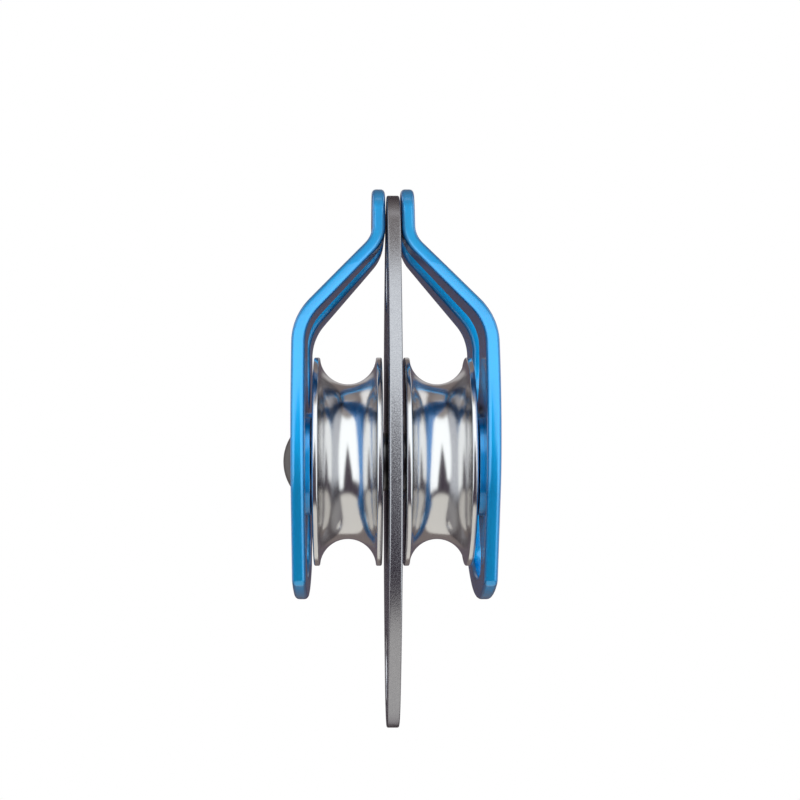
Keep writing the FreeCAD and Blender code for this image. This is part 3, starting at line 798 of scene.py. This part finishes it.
def cutSocket(piece, face):
    # A socket for a six-sided key, cut into the head from its outer face
    size = axleShape
    shape = bmesh.new()
    corner = size["socketWidth"] / math.sqrt(3)
    bmesh.ops.create_cone(shape, cap_ends=True, segments=6, radius1=corner, radius2=corner,
                          depth=2 * size["socketDepth"])
    mesh = bpy.data.meshes.new("socket")
    shape.to_mesh(mesh)
    shape.free()
    mesh.transform(Matrix.Translation((face, 0, 0)) @ Matrix.Rotation(math.radians(90), 4, "Y"))
    mesh.transform(toFrame)
    cutter = newObject("socket", mesh)
    cut = piece.modifiers.new("socket", "BOOLEAN")
    cut.object = cutter
    finished = plainMesh(piece)
    piece.modifiers.clear()
    piece.data = finished
    bpy.data.objects.remove(cutter)


bush = {"radius": 7.5, "flange": 10.5, "flangeWidth": 1.0, "edgeRound": 0.15}


def bushSection():
    size = bush
    inner = station("plate_bush", 0)
    outer = station("plate_bush", 1)
    corner = size["edgeRound"]
    return roundedSection([
        (inner, shaftBore(), corner),
        (outer, shaftBore(), corner),
        (outer, size["radius"], corner),
        (inner + size["flangeWidth"], size["radius"], 0),
        (inner + size["flangeWidth"], size["flange"], corner),
        (inner, size["flange"], corner),
    ])


# The washers and spacers on the shaft are plain rings, each as long as its CAD node

spacer = {"radius": 7.2, "edgeRound": 0.12}


def spacerSection(node):
    size = spacer
    inner = station(node, 0)
    outer = station(node, 1)
    corner = size["edgeRound"]
    return roundedSection([
        (inner, shaftBore(), corner),
        (outer, shaftBore(), corner),
        (outer, size["radius"], corner),
        (inner, size["radius"], corner),
    ])


makeAxle()
for side in sides:
    turned(side + "Sheave", side, side + "_sheave", side + "_sheave",
           finishes["polished"], sheaveSection(), steps=sheave["stepsRound"])
    turned(side + "PlateBush", side, "frame", side + "_plate_bush",
           finishes["ground"], bushSection())
    for node in ("inner_washer", "inner_spacer", "outer_spacer"):
        words = node.split("_")
        name = side + words[0].capitalize() + words[1].capitalize()
        turned(name, side, "frame", side + "_" + node, finishes["spacer"], spacerSection(node))
print("turned pieces made")


# The nodes that stay as they are get their finish

carried = {
    "bearing_outer_ring": "bearing",
    "bearing_inner_ring": "bearing",
    "bearing_balls": "bearing",
    "bearing_cage": "cage",
    "outer_shield": "shield",
    "inner_shield": "shield",
    "circlip": "clip",
}
for side in sides:
    for node, finish in carried.items():
        kept = frame["nodes"][side + "_" + node]
        for holder in kept.material_slots:
            holder.material = finishes[finish]
print("carried nodes finished:", 2 * len(carried))


# Camera, where the photograph was taken from: level with the axle and a little to its left.
# Lengths are in millimetres.

view = {
    "aside": -8.9,
    "distance": 360,
    "sensorWidth": 36,
    "focalLength": 66.24,
    "shiftAcross": 0.055,
    "shiftUp": 0.0771,
}
camera = bpy.data.objects.new("camera", bpy.data.cameras.new("camera"))
bpy.context.scene.collection.objects.link(camera)
bpy.context.scene.camera = camera
camera.location = (view["aside"] * mm, -view["distance"] * mm, axle.z)
camera.rotation_euler = (math.radians(90), 0, 0)
camera.data.sensor_width = view["sensorWidth"]
camera.data.lens = view["focalLength"]
camera.data.shift_x = view["shiftAcross"]
camera.data.shift_y = view["shiftUp"]


# Light: a photographer's tent. Two white panels stand in front of the block and part for the
# camera, the table below is pale, and the camera itself sees white all round. Angles are in
# degrees: up from the level, and round from the camera's side of the block.

studio = {
    "panels": {
        "colour": (1.20, 1.25, 1.27), "leftLow": -26.0, "rightLow": -38.5, "high": 66.0, "reach": 78.0,
        "soft": 4.0},
    "parting": {"tip": 26.0, "leftWiden": 0.42, "rightWiden": 0.30, "soft": 3.0},
    "ceiling": {"colour": (0.30, 0.27, 0.26), "low": 60.0, "soft": 7.0},
    "apron": {"colour": (0.062, 0.048, 0.066), "reach": 80.0, "soft": 5.0},
    "table": {"colour": (0.72, 0.70, 0.66), "high": -48.0, "soft": 4.0},
    "sidePanels": {
        "colour": (0.92, 0.91, 0.90), "from": 98.0, "to": 142.0, "low": -28.0, "high": 50.0, "soft": 6.0},
    "alley": {"colour": (0.12, 0.098, 0.118), "from": 160.0, "low": -18.0, "high": 12.0, "soft": 4.0},
    "backdrop": {
        "colour": (1.0, 1.0, 1.0), "share": 0.38, "from": 160.0, "low": 12.0, "high": 24.0, "soft": 3.0},
    "room": (0.20, 0.17, 0.165),
    "lamp": {"place": (0.0, 0.10, 0.8), "size": (0.5, 0.12), "level": 0.4},
}


def makeWorld():
    world = bpy.data.worlds.new("studio")
    bpy.context.scene.world = world
    world.use_nodes = True
    tree = world.node_tree
    way = addNode(tree, "ShaderNodeTexCoord").outputs["Generated"]
    split = addNode(tree, "ShaderNodeSeparateXYZ", inputs={0: way}).outputs
    upwards = mathNode(tree, "DEGREES", mathNode(tree, "ARCSINE", split["Z"]))
    forwards = mathNode(tree, "MULTIPLY", split["Y"], -1.0)
    around = mathNode(tree, "DEGREES", mathNode(tree, "ARCTAN2", split["X"], forwards))
    aside = mathNode(tree, "ABSOLUTE", around)

    def above(angle, limit, soft):
        # One where an angle is over the limit, none under it, and soft between
        limits = {"Value": angle, "From Min": limit - soft, "From Max": limit + soft}
        return addNode(tree, "ShaderNodeMapRange", {"interpolation_type": "SMOOTHSTEP"}, limits).outputs[0]

    def below(angle, limit, soft):
        return mathNode(tree, "SUBTRACT", 1.0, above(angle, limit, soft))

    def allOf(*masks):
        product = masks[0]
        for mask in masks[1:]:
            product = mathNode(tree, "MULTIPLY", product, mask)
        return product

    def laidOver(under, cloth, *masks):
        return mixColour(tree, allOf(*masks), under, cloth["colour"])

    def heightBand(cloth):
        # The band between a cloth's lower and upper edge
        return allOf(
            above(upwards, cloth["low"], cloth["soft"]), below(upwards, cloth["high"], cloth["soft"]))

    panels, parting, ceiling = studio["panels"], studio["parting"], studio["ceiling"]
    apron, table = studio["apron"], studio["table"]
    flank, alley, backdrop = studio["sidePanels"], studio["alley"], studio["backdrop"]

    # The parting is a wedge with its tip above the camera
    drop = mathNode(tree, "MAXIMUM", mathNode(tree, "SUBTRACT", parting["tip"], upwards), 0.0)
    leftwards = mathNode(tree, "MULTIPLY", around, -1.0)
    leftPast = mathNode(tree, "MULTIPLY_ADD", drop, -parting["leftWiden"], leftwards)
    rightPast = mathNode(tree, "MULTIPLY_ADD", drop, -parting["rightWiden"], around)
    opened = above(mathNode(tree, "MAXIMUM", leftPast, rightPast), 0.0, parting["soft"])
    closed = above(upwards, parting["tip"], parting["soft"])
    parted = mathNode(tree, "MAXIMUM", opened, closed)

    # The cloths, each laid over the ones before
    colour = laidOver(studio["room"], ceiling, above(upwards, ceiling["low"], ceiling["soft"]))
    colour = laidOver(
        colour, flank, above(aside, flank["from"], flank["soft"]),
        below(aside, flank["to"], flank["soft"]), heightBand(flank))
    colour = laidOver(colour, alley, above(aside, alley["from"], alley["soft"]), heightBand(alley))
    colour = laidOver(
        colour, apron, below(aside, apron["reach"], apron["soft"]),
        below(upwards, parting["tip"], apron["soft"]))
    colour = laidOver(colour, table, below(upwards, table["high"], table["soft"]))
    onRight = above(around, 0.0, panels["soft"])
    rightDrop = panels["rightLow"] - panels["leftLow"]
    low = mathNode(tree, "MULTIPLY_ADD", onRight, rightDrop, panels["leftLow"])
    colour = laidOver(
        colour, panels, parted, below(aside, panels["reach"], panels["soft"]),
        above(mathNode(tree, "SUBTRACT", upwards, low), 0.0, panels["soft"]),
        below(upwards, panels["high"], panels["soft"]))

    # The backdrop is white for the camera all round, and for mirrored rays behind the block
    behind = allOf(above(aside, backdrop["from"], backdrop["soft"]), heightBand(backdrop))
    ray = addNode(tree, "ShaderNodeLightPath").outputs
    bent = mathNode(tree, "MAXIMUM", ray["Is Glossy Ray"], ray["Is Transmission Ray"])
    share = mathNode(tree, "MULTIPLY", allOf(bent, behind), backdrop["share"])
    seen = mathNode(tree, "MAXIMUM", ray["Is Camera Ray"], share)
    colour = laidOver(colour, backdrop, seen)
    tree.links.new(colour, tree.nodes["Background"].inputs["Color"])


def softbox(name, place, size, level):
    # A lamp of a given brightness, aimed at the axle. The level is what its reflection shows.
    lamp = bpy.data.lights.new(name, "AREA")
    lamp.shape = "RECTANGLE"
    lamp.size, lamp.size_y = size
    lamp.energy = level * math.pi * size[0] * size[1]
    holder = bpy.data.objects.new(name, lamp)
    bpy.context.scene.collection.objects.link(holder)
    holder.location = axle + Vector(place)
    holder.rotation_euler = (-Vector(place)).to_track_quat("-Z", "Y").to_euler()
    holder.visible_camera = False


makeWorld()
softbox("top", **studio["lamp"])


# Floor, in metres. Its own shade fades out between two distances from its middle, so that no
# edge shows.

floorShape = {
    "radius": 0.42,
    "height": -0.50,
    "stepsRound": 96,
    "grey": (0.8, 0.8, 0.8),
    "roughness": 0.8,
    "fadeStart": 0.10,
    "fadeEnd": 0.40,
    "brightShare": 0.85,
}


def makeFloor():
    size = floorShape
    mesh = bpy.data.meshes.new("floor")
    shape = bmesh.new()
    bmesh.ops.create_circle(shape, cap_ends=True, segments=size["stepsRound"], radius=size["radius"])
    shape.to_mesh(mesh)
    shape.free()
    mesh.transform(Matrix.Translation((0, 0, size["height"])))
    floor = newObject("floor", mesh)
    material, tree, shader = newMaterial("paleFloor", size["grey"], 0.0, size["roughness"])
    # The camera and the metal see the floor as bright as the table around it
    ray = addNode(tree, "ShaderNodeLightPath").outputs
    glow = mixColour(tree, ray["Is Camera Ray"], studio["table"]["colour"], (1, 1, 1))
    bright = addNode(tree, "ShaderNodeEmission", inputs={"Color": glow})
    seen = mathNode(tree, "MAXIMUM", ray["Is Camera Ray"], ray["Is Glossy Ray"])
    seen = mathNode(tree, "MAXIMUM", seen, ray["Is Transmission Ray"])
    place = addNode(tree, "ShaderNodeTexCoord").outputs["Object"]
    flat = addNode(tree, "ShaderNodeVectorMath", {"operation": "MULTIPLY"}, {0: place, 1: (1, 1, 0)})
    reach = addNode(tree, "ShaderNodeVectorMath", {"operation": "LENGTH"}, {0: flat.outputs[0]})
    fade = addNode(tree, "ShaderNodeMapRange", {"interpolation_type": "SMOOTHSTEP"}, {
        "Value": reach.outputs["Value"],
        "From Min": size["fadeStart"],
        "From Max": size["fadeEnd"],
        "To Min": size["brightShare"],
    })
    seen = mathNode(tree, "MULTIPLY", seen, fade.outputs[0])
    mixed = addNode(tree, "ShaderNodeMixShader", inputs={
        0: seen, 1: shader.outputs[0], 2: bright.outputs[0]})
    tree.links.new(mixed.outputs[0], tree.nodes["Material Output"].inputs["Surface"])
    mesh.materials.append(material)


makeFloor()
bpy.context.scene.view_settings.view_transform = "Standard"
print("camera and light made")
